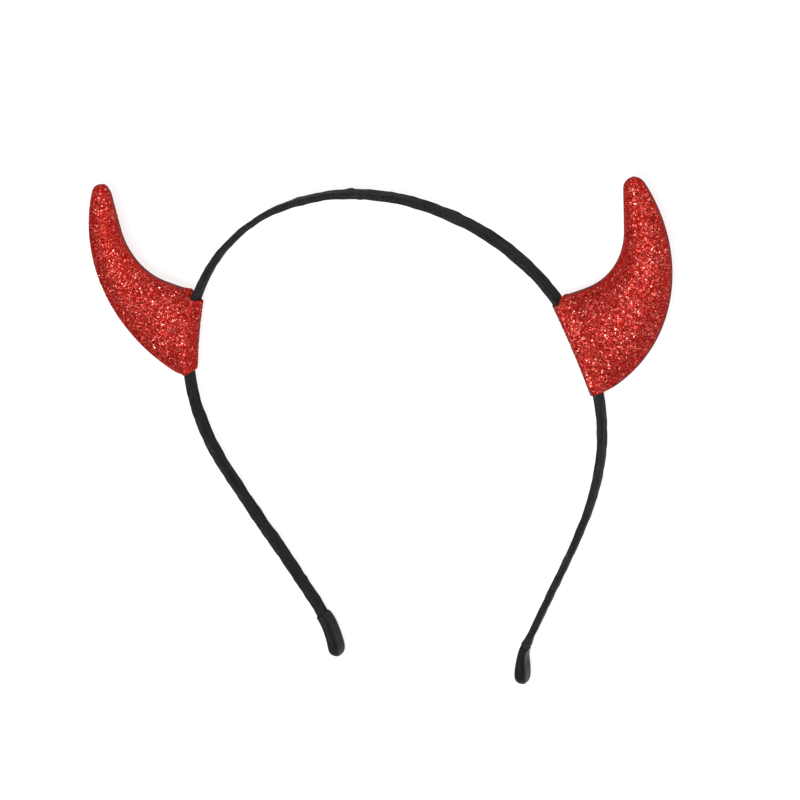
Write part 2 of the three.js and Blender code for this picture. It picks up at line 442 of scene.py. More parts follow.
@dataclass(frozen=True)
class FloorFinish:
    """Pale matt floor with a very faint mottle, lit a little from below."""

    tones: Stops = ((0.3, (0.27, 0.27, 0.27)), (0.7, (0.3, 0.3, 0.3)))
    mottle: Noise = Noise(9.0, 3.0)
    roughness: float = 0.9
    glow: float = 0.8

    def make(self) -> Material:
        """Makes the floor's surface.

        Returns:
            Its material.
        """
        shader = Shader(bpy.data.materials.new("pale_floor"))
        colour = shader.ramp(shader.noise(shader.place(), self.mottle), self.tones)
        glow = {"Emission Color": WHITE, "Emission Strength": self.glow}
        return shader.surface(colour, self.roughness, glow)


# Shapes shared by the pieces


@dataclass(frozen=True)
class Resting:
    """How the headband lies: its tilt about x in radians, and where the crown's middle is, in mm."""

    tilt: float = 0.011240795
    place: Triple = (1.0576, 73.1885, 5.0095)

    def lay(self, points: Array) -> Array:
        """Lays points of the band's own frame on the surface.

        Args:
            points: Points in mm, with x to the right, y to the crown and z to the front.

        Returns:
            The points in metres in the row frame.
        """
        turn = np.array([
            [1.0, 0.0, 0.0],
            [0.0, math.cos(self.tilt), -math.sin(self.tilt)],
            [0.0, math.sin(self.tilt), math.cos(self.tilt)],
        ])
        return (points @ turn.T + np.array(self.place)) * MM

    def tube(self, name: str, rings: Sequence[Array], slot: int = 0) -> Mesh:
        """Skins rings of the band's frame into a mesh whose ends are drawn together, and lays it down."""
        first, last = (np.tile(ring.mean(axis=0), (len(ring), 1)) for ring in (rings[0], rings[-1]))
        return loft(name, self.lay(np.array([first, *rings, last])), slot)


@dataclass(frozen=True)
class Stretch:
    """A length of the band in mm, and how far each side turns along it in degrees."""

    length: float
    left: float
    right: float


@dataclass(frozen=True)
class BandLine:
    """The centre line of the band from the crown to both ends.

    A place on it is measured along the band from the crown in mm, and is below 0 on the left.
    """

    stretches: tuple[Stretch, ...] = tuple(Stretch(*row) for row in (
        (25.0, 20.4, 19.0), (25.0, 21.9, 20.5), (25.0, 23.5, 24.5), (25.0, 24.9, 22.95), (25.0, 25.4, 21.0),
        (25.0, 5.8, 9.4), (28.0, -3.3, -0.3), (9.0, -5.0, -0.5), (4.0, -7.3, -19.0), (8.6, -19.3, -4.0),
    ))

    @property
    def side_length(self) -> float:
        """The length from the crown to an end."""
        return sum(stretch.length for stretch in self.stretches)

    def station(self, place: float) -> tuple[Array, Array]:
        """Finds a place on the centre line.

        Args:
            place: The place.

        Returns:
            Its point, and the direction outwards from the head, both in the band's plane.
        """
        side = Side.LEFT if place < 0 else Side.RIGHT
        x = y = heading = 0.0
        remaining = abs(place)
        for stretch in self.stretches:
            run = min(remaining, stretch.length)
            turn = stretch.left if side is Side.LEFT else stretch.right
            bend = math.radians(turn) / stretch.length
            after = heading + bend * run
            x += (math.sin(after) - math.sin(heading)) / bend
            y += (math.cos(after) - math.cos(heading)) / bend
            heading = after
            remaining -= run
            if remaining <= 0:
                break
        x += remaining * math.cos(heading)
        y -= remaining * math.sin(heading)
        point = np.array([side.value * x, y])
        outward = np.array([side.value * math.sin(heading), math.cos(heading)])
        return point, outward

    def ring(self, place: float, section: Array) -> Array:
        """Sets a section, pairs of height and outward offset in mm, square to the line at a place."""
        point, outward = self.station(place)
        return np.column_stack([point + section[:, 1:2] * outward, section[:, 0]])


def flat_section(width: float, thickness: float, radius: float, arc_steps: int, flat_steps: int) -> Array:
    """Draws a flat section with rounded edges.

    Args:
        width: Its height across the band in mm.
        thickness: Its size outwards from the head in mm.
        radius: The radius of its edges in mm.
        arc_steps: Steps round each edge.
        flat_steps: Steps along each wide face.

    Returns:
        Pairs of height and outward offset, once round.
    """
    points = []
    corners = ((1, 1, 0.0), (-1, 1, 90.0), (-1, -1, 180.0), (1, -1, 270.0))
    for index, (up, out, start) in enumerate(corners):
        for angle in np.radians(np.linspace(start, start + 90.0, arc_steps + 1)):
            height = up * (width / 2 - radius) + radius * math.cos(angle)
            offset = out * (thickness / 2 - radius) + radius * math.sin(angle)
            points.append((height, offset))
        if index in (0, 2):
            span = width - 2 * radius
            for step in range(1, flat_steps):
                points.append((up * (width / 2 - radius - span * step / flat_steps), out * thickness / 2))
    return np.array(points)


def smooth_step(amount: Array | float) -> Array:
    """Eases an amount from 0 to 1, and holds it outside."""
    held = np.clip(amount, 0.0, 1.0)
    return held * held * (3.0 - 2.0 * held)


def unit(vectors: Array) -> Array:
    """Gives vectors, one a row, the length 1."""
    return vectors / np.linalg.norm(vectors, axis=1, keepdims=True)


def add_object(name: str, data: bpy.types.ID, materials: Sequence[Material] = ()) -> Object:
    """Adds an object to the scene.

    Args:
        name: Its name.
        data: Its mesh, light or camera.
        materials: A mesh's materials in the order of their slots.

    Returns:
        The object.
    """
    for material in materials:
        data.materials.append(material)
    made = bpy.data.objects.new(name, data)
    bpy.context.scene.collection.objects.link(made)
    return made


def add_piece(name: str, mesh: Mesh, materials: Sequence[Material]) -> Object:
    """Adds a mesh to the scene as a piece of the headband.

    Args:
        name: The piece's name.
        mesh: Its mesh, in the row frame.
        materials: Its materials in the order of their slots.

    Returns:
        The piece.
    """
    piece = add_object(name, mesh, materials)
    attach(piece, BODY)
    log.info("%s: %d faces", name, len(mesh.polygons))
    return piece


def loft(name: str, rings: Array, slots: Array | int) -> Mesh:
    """Skins closed rings of equal counts into one closed mesh.

    Args:
        name: The mesh's name.
        rings: Points in metres, by ring and place; an end ring falls together to a line or a point.
        slots: The faces' material slot, or one for each by the ring before it and its place round it.

    Returns:
        The mesh, with its faces turned outwards.
    """
    rows, count = rings.shape[:2]
    here = np.arange(count)
    beside = (here + 1) % count
    quads = np.column_stack([here, beside, beside + count, here + count])
    faces = (np.arange(rows - 1)[:, None, None] * count + quads).reshape(-1, 4)
    mesh = bpy.data.meshes.new(name)
    mesh.from_pydata(rings.reshape(-1, 3).tolist(), [], faces.tolist())
    indices = np.broadcast_to(slots, (rows - 1, count)).ravel().astype(np.int32)
    mesh.polygons.foreach_set("material_index", indices)
    shell = bmesh.new()
    shell.from_mesh(mesh)
    bmesh.ops.remove_doubles(shell, verts=shell.verts, dist=MERGE)
    bmesh.ops.dissolve_degenerate(shell, edges=shell.edges, dist=MERGE)
    bmesh.ops.recalc_face_normals(shell, faces=shell.faces)
    shell.to_mesh(mesh)
    shell.free()
    mesh.shade_smooth()
    return mesh


def coordinates(mesh: Mesh, name: str = "co") -> Array:
    """Reads a mesh's points, or another vector that they hold, as rows of x, y and z.

    Args:
        mesh: The mesh.
        name: What is read.

    Returns:
        A row for each point.
    """
    flat = np.empty(len(mesh.vertices) * 3)
    mesh.vertices.foreach_get(name, flat)
    return flat.reshape(-1, 3)


def move_points(mesh: Mesh, points: Array) -> None:
    """Writes a mesh's points back."""
    mesh.vertices.foreach_set("co", points.ravel())
    mesh.update()


def clear_slivers(mesh: Mesh) -> None:
    """Splits a cut mesh into triangles and takes out the tiny ones.

    Args:
        mesh: The mesh, which is changed.
    """
    work = bmesh.new()
    work.from_mesh(mesh)
    bmesh.ops.triangulate(work, faces=work.faces[:])
    bmesh.ops.dissolve_degenerate(work, dist=SLIVER, edges=work.edges[:])
    bmesh.ops.triangulate(work, faces=work.faces[:])
    work.to_mesh(mesh)
    work.free()


def settled(piece: Object) -> Mesh:
    """Gives a piece's mesh with its modifiers applied, and takes the modifiers away.

    Args:
        piece: The piece.

    Returns:
        Its new mesh.
    """
    graph = bpy.context.evaluated_depsgraph_get()
    mesh = bpy.data.meshes.new_from_object(piece.evaluated_get(graph), depsgraph=graph)
    piece.modifiers.clear()
    piece.data = mesh
    return mesh


def rounded(piece: Object, levels: int, lowest: float) -> None:
    """Rounds a piece's mesh by subdivision, and lifts its lowest points.

    Args:
        piece: The piece.
        levels: How many times it is subdivided.
        lowest: The least height of a point, in mm.
    """
    rounding = piece.modifiers.new("rounded", "SUBSURF")
    rounding.levels = rounding.render_levels = levels
    mesh = settled(piece)
    points = coordinates(mesh)
    points[:, 2] = np.maximum(points[:, 2], lowest * MM)
    move_points(mesh, points)


# The covered band


@dataclass(frozen=True)
class Kink:
    """A small pucker of the cover: its place on the line, edge, height, reach and lean outwards, in mm."""

    place: float
    edge: Edge
    height: float
    reach: float
    lean: float = 0.0


@dataclass(frozen=True)
class Gather:
    """A swelling where the ribbon is drawn together: its place, slant and reach in mm, and its growth."""

    place: float
    slant: float
    reach: float
    growth: float


@dataclass
class CoveredBand:
    """The spring strip in its satin cover, with a lapped seam inside and small puckers.

    Each wave of the cover has its length and height in mm, and its phase in radians.
    """

    line: BandLine
    resting: Resting
    end_gap: float = 1.5
    spacing: float = 0.6
    arc_steps: int = 5
    flat_steps: int = 10
    lap_line: float = -0.5
    lap_blend: float = 0.3
    lap_height: float = 0.14
    map_steps: int = 4
    waves: tuple[Triple, ...] = (
        (41.0, 0.08, 0.4), (23.0, 0.08, 1.9), (11.0, 0.07, 3.1), (6.3, 0.055, 5.0), (3.4, 0.035, 0.9),
    )
    sway: float = 0.5
    calm_zones: tuple[Pair, ...] = ((66.0, 100.0), (184.0, 200.0))
    calm_blend: float = 3.0
    kinks: tuple[Kink, ...] = (
        Kink(-2.5, Edge.REAR, 0.3, 1.1, 0.42),
        Kink(2.2, Edge.FRONT, 0.25, 0.9, -0.3),
        Kink(-3.2, Edge.FRONT, 0.15, 1.2, -0.22),
        Kink(-16.8, Edge.FRONT, 0.3, 1.4, -0.3),
        Kink(-19.5, Edge.REAR, 0.3, 1.5, 0.3),
        Kink(-36.0, Edge.FRONT, 0.2, 1.8, -0.3),
        Kink(-46.0, Edge.FRONT, 0.2, 1.9, -0.32),
        Kink(-58.0, Edge.REAR, 0.2, 1.6, 0.25),
        Kink(-146.5, Edge.REAR, 0.36, 1.5),
        Kink(-172.3, Edge.REAR, 0.25, 1.0, -0.2),
        Kink(30.0, Edge.REAR, 0.2, 1.8, 0.25),
        Kink(123.8, Edge.FRONT, 0.34, 1.5, -0.2),
        Kink(162.2, Edge.REAR, 0.3, 1.4, 0.3),
    )
    kink_sharpness: int = 3
    gather: Gather = Gather(185.4, 1.0, 1.5, 0.34)

    def looseness(self, place: float) -> float:
        """Tells how loose the cover lies: 0 inside a sleeve or cap, 1 in the open."""
        outside = [max(start - abs(place), abs(place) - end) for start, end in self.calm_zones]
        return float(np.prod(smooth_step(np.array(outside) / self.calm_blend)))

    def section_at(self, place: float, base: Array) -> Array:
        """Puckers the cover's section at one place.

        Args:
            place: The place on the line.
            base: The even section.

        Returns:
            The section with its seam, waves, kinks and gather.
        """
        section = base.copy()
        height = base[:, 0]
        across = height / (BAND_WIDTH / 2)
        lap = smooth_step((height - self.lap_line) / self.lap_blend)
        lap *= smooth_step((BAND_WIDTH / 2 - height) / BAND_EDGE)
        section[:, 1] -= self.lap_height * lap * (base[:, 1] < 0)
        loose = self.looseness(place)
        edge = np.sign(height)
        for length, rise, phase in self.waves:
            turn = 2 * math.pi * place / length
            section[:, 0] += loose * rise * edge * np.sin(turn + phase * (2 + edge))
            section[:, 1] += self.sway * loose * rise * math.sin(turn + 2 * phase)
        for kink in self.kinks:
            nearness = math.exp(-(((place - kink.place) / kink.reach) ** 2))
            pull = nearness * np.clip(kink.edge.value * across, 0.0, 1.0) ** self.kink_sharpness
            section[:, 0] += kink.edge.value * kink.height * pull
            section[:, 1] += kink.lean * pull
        middle = self.gather.place - self.gather.slant * across
        swell = self.gather.growth * np.exp(-(((place - middle) / self.gather.reach) ** 2))
        section[:, 0] *= 1.0 + swell * (BAND_THICKNESS / BAND_WIDTH)
        section[:, 1] *= 1.0 + swell
        return section

    def build(self, finish: SatinFinish) -> Object:
        """Builds the covered band.

        Args:
            finish: The satin of its cover.

        Returns:
            The band's piece.
        """
        base = flat_section(BAND_WIDTH, BAND_THICKNESS, BAND_EDGE, self.arc_steps, self.flat_steps)
        end = self.line.side_length - self.end_gap
        places = np.linspace(-end, end, 2 * math.ceil(end / self.spacing) + 1)
        rings = [self.line.ring(place, self.section_at(place, base)) for place in places]
        mesh = self.resting.tube("band_cover", rings)
        self.map_along(mesh)
        return add_piece("band_cover", mesh, [finish.make()])

    def map_along(self, mesh: Mesh) -> None:
        """Gives the cover a map in mm, along the band and round it, and marks that grow to 1 at its edges.

        Args:
            mesh: The cover's mesh.
        """
        layer = mesh.uv_layers.new(name=ALONG_MAP)
        corners = np.empty(len(mesh.loops), dtype=np.int32)
        mesh.loops.foreach_get("vertex_index", corners)
        places = self.nearest(coordinates(mesh))
        layer.data.foreach_set("uv", places[corners, :2].ravel())
        marks = mesh.attributes.new(WEAR, "FLOAT", "POINT")
        wear = np.minimum(np.abs(places[:, 2]) / (BAND_WIDTH / 2), 1.0)
        marks.data.foreach_set("value", wear.astype(np.float32))

    def nearest(self, points: Array) -> Array:
        """Finds where points lie along and round the band.

        Args:
            points: Points of the cover in the row frame.

        Returns:
            For each, its distance along the band, its place round the section and its height, in mm.
        """
        end = self.line.side_length
        steps = np.linspace(-end, end, self.map_steps * math.ceil(end))
        line = np.array([np.concatenate(self.line.station(step)) for step in steps])
        middle = self.resting.lay(np.column_stack([line[:, :2], np.zeros(len(line))]))
        gaps = ((points[:, None, :2] - middle[None, :, :2]) ** 2).sum(axis=2)
        index = gaps.argmin(axis=1)
        offset = (points - middle[index]) / MM
        out = (offset[:, :2] * line[index, 2:]).sum(axis=1)
        beyond_edge = np.where(out < 0, 2 * BAND_WIDTH, 0.0)
        around = offset[:, 2] + beyond_edge * np.sign(offset[:, 2])
        return np.column_stack([steps[index], around, offset[:, 2]])


# The rubber end caps


@dataclass(frozen=True)
class CapRow:
    """A section of an end cap: its place from the closed end, width, thickness and outward shift in mm."""

    from_end: float
    width: float
    thickness: float
    shift: float = 0.0


@dataclass
class EndCap:
    """A soft cap over one end of the band, round at its closed end and open at its mouth."""

    side: Side
    line: BandLine
    resting: Resting
    rows: tuple[CapRow, ...]
    slant: float
    end_slant: float
    slant_start: float = 8.0
    end_reach: float = 6.0
    full_width: float = 6.8
    edge_share: float = 0.46
    arc_steps: int = 6
    flat_steps: int = 6
    roundings: int = 2
    lowest: float = 0.0

    def ring(self, row: CapRow) -> Array:
        """Draws one section of the cap, slanted near the mouth and near the closed end.

        Args:
            row: The section's place and size.

        Returns:
            Its points in the band's frame.
        """
        radius = row.thickness * self.edge_share
        section = flat_section(row.width, row.thickness, radius, self.arc_steps, self.flat_steps)
        section[:, 1] += row.shift
        mouth = max(other.from_end for other in self.rows)
        at_mouth = float(smooth_step((row.from_end - self.slant_start) / (mouth - self.slant_start)))
        at_end = 1.0 - float(smooth_step(row.from_end / self.end_reach))
        slant = self.slant * at_mouth + self.end_slant * at_end
        ends = row.from_end + slant * section[:, 0] / (max(row.width, self.full_width) / 2)
        return np.concatenate([
            self.line.ring(self.side.value * (self.line.side_length - end), point[None])
            for end, point in zip(ends, section, strict=True)
        ])

    def build(self, finish: GrainedFinish) -> Object:
        """Builds the cap.

        Args:
            finish: Its rubber.

        Returns:
            The cap's piece.
        """
        name = f"{self.side.word}_cap"
        mesh = self.resting.tube(name, [self.ring(row) for row in self.rows])
        piece = add_piece(name, mesh, [finish.make()])
        rounded(piece, self.roundings, self.lowest)
        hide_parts(f"cap_{self.side.word}")
        return piece


ROUND_END = (
    (-0.46, 1.3, 1.0), (-0.25, 2.9, 1.9), (0.22, 4.6, 2.75),
    (0.95, 6.0, 3.3), (1.75, 6.75, 3.57), (2.5, 6.95, 3.65),
)
LEFT_CAP = tuple(CapRow(*row) for row in (
    *ROUND_END, (3.4, 7.0, 3.65), (5.5, 6.8, 3.5), (8.0, 6.6, 3.3, -0.12), (11.0, 6.45, 3.2, -0.3),
    (13.0, 6.3, 3.0, -0.26), (14.2, 6.1, 2.75, -0.12), (14.7, 5.95, 2.6), (14.9, 5.75, 2.45),
    (14.7, 5.55, 2.3), (14.1, 5.4, 2.2), (10.0, 5.4, 2.2), (1.6, 5.4, 2.2),
))
RIGHT_CAP = tuple(CapRow(*row) for row in (
    *ROUND_END, (3.4, 7.1, 3.75), (5.2, 7.0, 3.6), (7.0, 6.55, 3.2), (9.0, 6.0, 2.7),
    (11.0, 5.8, 2.55), (12.3, 5.85, 2.6), (12.8, 5.85, 2.6), (13.0, 5.7, 2.48),
    (12.8, 5.5, 2.3), (12.2, 5.4, 2.2), (8.0, 5.4, 2.2), (1.6, 5.4, 2.2),
))


# The padded horns


def arc(middle: Sequence[float], radius: float, start: float, end: float, steps: int = 60) -> Array:
    """Draws an arc as points in order, from one angle in radians to another."""
    angles = np.linspace(start, end, steps + 1)
    return np.column_stack([middle[0] + radius * np.cos(angles), middle[1] + radius * np.sin(angles)])


def along(path: Array, shares: Array) -> Array:
    """Finds the points of a path by the shares of its length that are passed."""
    passed = np.concatenate([[0.0], np.cumsum(np.linalg.norm(np.diff(path, axis=0), axis=1))])
    return np.column_stack([np.interp(shares * passed[-1], passed, path[:, axis]) for axis in range(2)])


@dataclass(frozen=True)
class HornOutline:
    """A horn's outline beside its sleeve in mm: x runs outwards and y towards the crown."""

    upper_corner: Pair = (1.5, 15.3)
    lower_corner: Pair = (1.3, -13.4)
    belly_start: float = math.radians(-77.6)
    outer_middle: Pair = (-6.6, 30.0)
    outer_radius: float = 43.9
    crest_middle: Pair = (8.8, 34.7)
    crest_radius: float = 19.3
    tip_radius: float = 2.8
    tip_angle: float = math.radians(10.3)
    tip_halfway: float = math.radians(84.0)

    @property
    def tip(self) -> Array:
        """The middle of the rounded tip."""
        towards = np.array([math.cos(self.tip_angle), math.sin(self.tip_angle)])
        return np.array(self.outer_middle) + (self.outer_radius - self.tip_radius) * towards

    def crest(self) -> Array:
        """Draws the hollow edge.

        Returns:
            Its points from the sleeve to the tip's top.
        """
        between = self.tip - np.array(self.crest_middle)
        touch = math.asin((self.crest_radius + self.tip_radius) / np.linalg.norm(between))
        rise = math.atan2(between[1], between[0]) + touch
        hollow = arc(self.crest_middle, self.crest_radius, -math.pi / 2, rise - math.pi / 2)
        rounding = arc(self.tip, self.tip_radius, rise + math.pi / 2, self.tip_halfway)
        return np.concatenate([[self.upper_corner], hollow, rounding])

    def outer(self) -> Array:
        """Draws the full edge.

        Returns:
            Its points from the sleeve to the tip's top.
        """
        belly = arc(self.outer_middle, self.outer_radius, self.belly_start, self.tip_angle)
        rounding = arc(self.tip, self.tip_radius, self.tip_angle, self.tip_halfway)
        return np.concatenate([[self.lower_corner], belly, rounding])


@dataclass(frozen=True)
class HornRow:
    """A section of a horn: the share of its length passed, and half its thickness, in mm.

    The thickness is given at the middle and at the edges.
    """

    share: float
    crown: float
    edge: float = 0.34


@dataclass(frozen=True)
class Filling:
    """Soft filling that swells the cloth between its held edges."""

    enlarged: float = 20.0
    steps: int = 20
    quality: int = 6
    pressure: float = 4.0
    most: float = 0.7

    def swell(self, mesh: Mesh, held: Array) -> None:
        """Swells a closed cloth by simulation.

        Args:
            mesh: The cloth's mesh, which is changed.
            held: How firmly each point is held, from 0 to 1.
        """
        scene = bpy.context.scene
        start = coordinates(mesh)
        copy = mesh.copy()
        move_points(copy, start * self.enlarged)
        trial = add_object("trial_cloth", copy)
        group = trial.vertex_groups.new(name="held")
        for index, weight in enumerate(held):
            group.add([index], float(weight), "REPLACE")
        cloth = trial.modifiers.new("cloth", "CLOTH")
        cloth.settings.vertex_group_mass = group.name
        cloth.settings.use_pressure = True
        cloth.settings.uniform_pressure_force = self.pressure
        cloth.settings.effector_weights.gravity = 0.0
        cloth.settings.quality = self.quality
        cloth.collision_settings.use_collision = False
        cloth.point_cache.frame_end = self.steps
        for step in range(1, self.steps + 1):
            scene.frame_set(step)
        graph = bpy.context.evaluated_depsgraph_get()
        moved = coordinates(trial.evaluated_get(graph).data) / self.enlarged - start
        bpy.data.objects.remove(trial)
        bpy.data.meshes.remove(copy)
        scene.frame_set(1)
        length = np.linalg.norm(moved, axis=1, keepdims=True)
        log.info("filling: swells by up to %.2f mm, mean %.2f mm", length.max() / MM, length.mean() / MM)
        share = np.minimum(1.0, self.most * MM / np.maximum(length, NO_LENGTH))
        move_points(mesh, start + moved * share)


@dataclass
class Horn:
    """A padded glitter-cloth horn, folded round the band into a sleeve and joined along its edges."""

    side: Side
    line: BandLine
    resting: Resting
    sleeve_top: float
    sleeve_bottom: float
    lean: float
    outline: HornOutline
    filling: Filling = Filling()
    clearance: float = 0.16
    tunnel_overrun: float = 8.0
    tunnel_rings: int = 60
    tunnel_arc_steps: int = 5
    tunnel_flat_steps: int = 4
    fold_x: float = -2.175
    fold_depth: float = 2.6
    fold_bow: float = 1.3
    fold_steps: int = 8
    sleeve_half_depth: float = 3.8
    mouth_half_depth: float = 3.0
    sleeve_outer_x: float = 1.0
    rows: tuple[HornRow, ...] = tuple(HornRow(*row) for row in (
        (0.0, 4.0, 2.4), (0.03, 4.15, 1.4), (0.07, 4.4, 0.6), (0.11, 4.7), (0.16, 4.9), (0.25, 5.0),
        (0.35, 5.0), (0.45, 4.8), (0.55, 4.5), (0.65, 4.1), (0.75, 3.7), (0.84, 3.0), (0.91, 2.35),
        (0.96, 1.6, 0.32), (0.985, 1.0, 0.3), (1.0, 0.0, 0.0),
    ))
    row_steps: int = 64
    steps_across: int = 24
    fullness: float = 2.4
    softness: float = 0.8
    edge_inset: float = 0.4
    groove_depth: float = 0.22
    most_inset: float = 0.2
    least_width: float = 1e-6
    rim_share: float = 0.6
    held_share: float = 0.06
    sleeve_rows: int = 3
    upper_lip: float = 0.0
    front_lip: float = 0.0
    fold_rise: float = 0.0
    # The section rows whose fold faces get painted shade in the cut edge's felt
    fold_shade_rings: tuple[int, int] = (4, 6)
    roundings: int = 1
    lowest: float = 0.03
    sharp_angle: float = math.radians(50.0)

    @property
    def name(self) -> str:
        """The piece's name."""
        return f"{self.side.word}_horn"

    @property
    def joined(self) -> int:
        """The first row of faces whose edges are joined, beyond the sleeve."""
        return self.fold_steps + 1 + self.sleeve_rows

    @property
    def rims(self) -> tuple[slice, ...]:
        """The places round a section that lie on its full edge, and on its hollow edge."""
        starts = (self.steps_across, 2 * self.steps_across + RIM_POINTS + 1)
        return tuple(slice(start, start + RIM_POINTS + 1) for start in starts)

    def sleeve_frame(self) -> tuple[Array, float, Array, Array]:
        """Finds the sleeve's frame in the band's plane.

        Returns:
            Its middle, half its length, and its directions outwards and towards the crown.
        """
        top = self.line.station(self.side.value * self.sleeve_top)[0]
        bottom = self.line.station(self.side.value * self.sleeve_bottom)[0]
        length = float(np.linalg.norm(top - bottom))
        crownwards = (top - bottom) / length
        outwards = self.side.value * np.array([crownwards[1], -crownwards[0]])
        return (top + bottom) / 2, length / 2, outwards, crownwards

    def ring(self, crest: Array, outer: Array, crown: float, edge: float, bow: float = 0.0) -> Array:
        """Draws one section of the horn.

        Args:
            crest: Its end at the hollow edge.
            outer: Its end at the full edge.
            crown: Half its thickness at the middle.
            edge: Half its thickness at the joined edges.
            bow: How far its middle moves outwards.

        Returns:
            Its points in the sleeve's frame, across the front, round the edge and back across the rear.
        """
        width = max(float(np.linalg.norm(outer - crest)), self.least_width)
        inset = min(self.edge_inset / width, self.most_inset)
        groove = min(self.groove_depth / width, self.most_inset)
        steps = np.linspace(0.0, 1.0, self.steps_across + 1)
        shares = inset + (1 - 2 * inset) * steps
        fall = np.abs(2 * steps - 1) ** self.fullness
        half = edge + (crown - edge) * (1 - fall) ** self.softness
        rim_shares = np.array([1.0, 1.0 - groove, 1.0])
        rim_heights = np.array([self.rim_share, 0.0, -self.rim_share]) * edge
        share = np.concatenate([shares, rim_shares, shares[::-1], 1.0 - rim_shares])
        height = np.concatenate([half, rim_heights, -half[::-1], -rim_heights])
        flat = crest + share[:, None] * (outer - crest)
        flat[:, 0] += bow * (1 - (2 * share - 1) ** 2)
        return np.column_stack([flat, height])

    def rings(self) -> tuple[Array, Array]:
        """Draws all sections from the fold to the tip.

        Returns:
            The sections in the row frame, and how firmly each point is held.
        """
        middle, half, outwards, crownwards = self.sleeve_frame()
        sleeve = []
        for turn in np.linspace(0.0, math.pi / 2, self.fold_steps + 1):
            x = self.fold_x + self.fold_depth * (1 - math.cos(turn))
            sleeve.append((x, math.sin(turn), self.fold_bow * math.cos(turn)))
        sleeve.append((self.sleeve_outer_x, 1.0, 0.0))
        sections = []
        for x, open_share, bow in sleeve:
            depth = self.sleeve_half_depth * open_share
            mouth = self.mouth_half_depth * open_share
            sections.append(self.ring(np.array([x, half]), np.array([x, -half]), depth, mouth, bow))
        shares = np.sin(np.linspace(0.0, math.pi / 2, self.row_steps + 1))
        table = np.array([(row.share, row.crown, row.edge) for row in self.rows])
        crowns, edges = (np.interp(shares, table[:, 0], table[:, column]) for column in (1, 2))
        turn = math.radians(self.lean)
        leaning = np.array([[math.cos(turn), -math.sin(turn)], [math.sin(turn), math.cos(turn)]])
        crest = along(self.outline.crest(), shares) @ leaning.T
        outer = along(self.outline.outer(), shares) @ leaning.T
        sections += [self.ring(*ends) for ends in zip(crest, outer, crowns, edges, strict=True)]
        local = np.array(sections)
        local[:len(sleeve), :, 1] += self.lips(local[:len(sleeve)], half)
        flat = middle + local[..., 0:1] * outwards + local[..., 1:2] * crownwards
        points = np.concatenate([flat, local[..., 2:3]], axis=2)
        loosened = smooth_step((shares - self.held_share) / self.held_share)
        held = np.concatenate([np.ones(len(sleeve)), 1.0 - loosened])
        firm = np.repeat(held[:, None], local.shape[1], axis=1)
        for rim in (0, *self.rims):
            firm[:, rim] = 1.0
        return self.resting.lay(points), firm

    def lips(self, sleeve: Array, half: float) -> Array:
        """Finds how far the cloth at the sleeve's mouths lies along the band.

        Args:
            sleeve: The sleeve's points in its frame.
            half: Half the sleeve's length.

        Returns:
            For each point, how far it moves towards the crown in mm.
        """
        front = np.clip(sleeve[..., 2] / self.mouth_half_depth, 0.0, 1.0)
        fold = 1.0 - smooth_step((sleeve[..., 0] - self.fold_x) / self.fold_depth)
        upper = smooth_step(sleeve[..., 1] / half) * (self.upper_lip + self.front_lip * front)
        return upper + smooth_step(-sleeve[..., 1] / half) * self.fold_rise * fold

    def rim_lines(self) -> list[Array]:
        """Finds the middles of the joined edges beyond the sleeve, the full one and the hollow one."""
        beyond = self.rings()[0][self.joined + 1:]
        return [beyond[:, (rim.start + rim.stop) // 2] for rim in self.rims]

    def face_slots(self) -> Array:
        """Gives each face its surface: cut edge where the cloths are joined, and a strip of painted shade
        on the fold, in the cut edge's felt.

        Returns:
            A material slot by section and place.
        """
        full, hollow = self.rims
        slots = np.full((self.fold_steps + self.row_steps + 2, hollow.stop), Cloth.GLITTER.value)
        for rim in self.rims:
            slots[self.joined:, rim] = Cloth.CUT.value
        # The painted shade strip: the fold's front faces on the right horn, its rear faces on the left
        lap = slice(0, full.start) if self.side is Side.RIGHT else slice(full.stop, hollow.start)
        slots[slice(*self.fold_shade_rings), lap] = Cloth.FOLD_SHADE.value
        return slots

    def tunnel(self, materials: Sequence[Material]) -> Object:
        """Builds the band's way through the sleeve.

        Args:
            materials: The horn's materials.

        Returns:
            A closed strip with its clearance, for cutting.
        """
        grow = 2 * self.clearance
        section = flat_section(
            BAND_WIDTH + grow, BAND_THICKNESS + grow, BAND_EDGE + self.clearance,
            self.tunnel_arc_steps, self.tunnel_flat_steps,
        )
        start = self.sleeve_top - self.tunnel_overrun
        places = np.linspace(start, self.sleeve_bottom + self.tunnel_overrun, self.tunnel_rings)
        rings = [self.line.ring(self.side.value * place, section) for place in places]
        return add_object("tunnel", self.resting.tube("tunnel", rings, Cloth.CUT.value), materials)

    def build(self, cloth: Material, cut: Material) -> Object:
        """Builds the horn.

        Args:
            cloth: The glitter cloth.
            cut: The cut edges and the inner side; it also paints shade on a strip of the fold.

        Returns:
            The horn's piece.
        """
        # The third slot paints shade on a strip of the fold
        materials = [cloth, cut, cut]
        points, firm = self.rings()
        mesh = loft(self.name, points, self.face_slots())
        self.filling.swell(mesh, self.matched(mesh, points, firm))
        piece = add_piece(self.name, mesh, materials)
        rounded(piece, self.roundings, self.lowest)
        cutter = self.tunnel(materials)
        cutting = piece.modifiers.new("tunnel", "BOOLEAN")
        cutting.operation = "DIFFERENCE"
        cutting.solver = "EXACT"
        cutting.object = cutter
        mesh = settled(piece)
        bpy.data.objects.remove(cutter)
        clear_slivers(mesh)
        mesh.shade_smooth()
        mesh.set_sharp_from_angle(angle=self.sharp_angle)
        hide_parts(f"horn_{self.side.word}")
        log.info("%s: %d faces when sewn", self.name, len(mesh.polygons))
        return piece

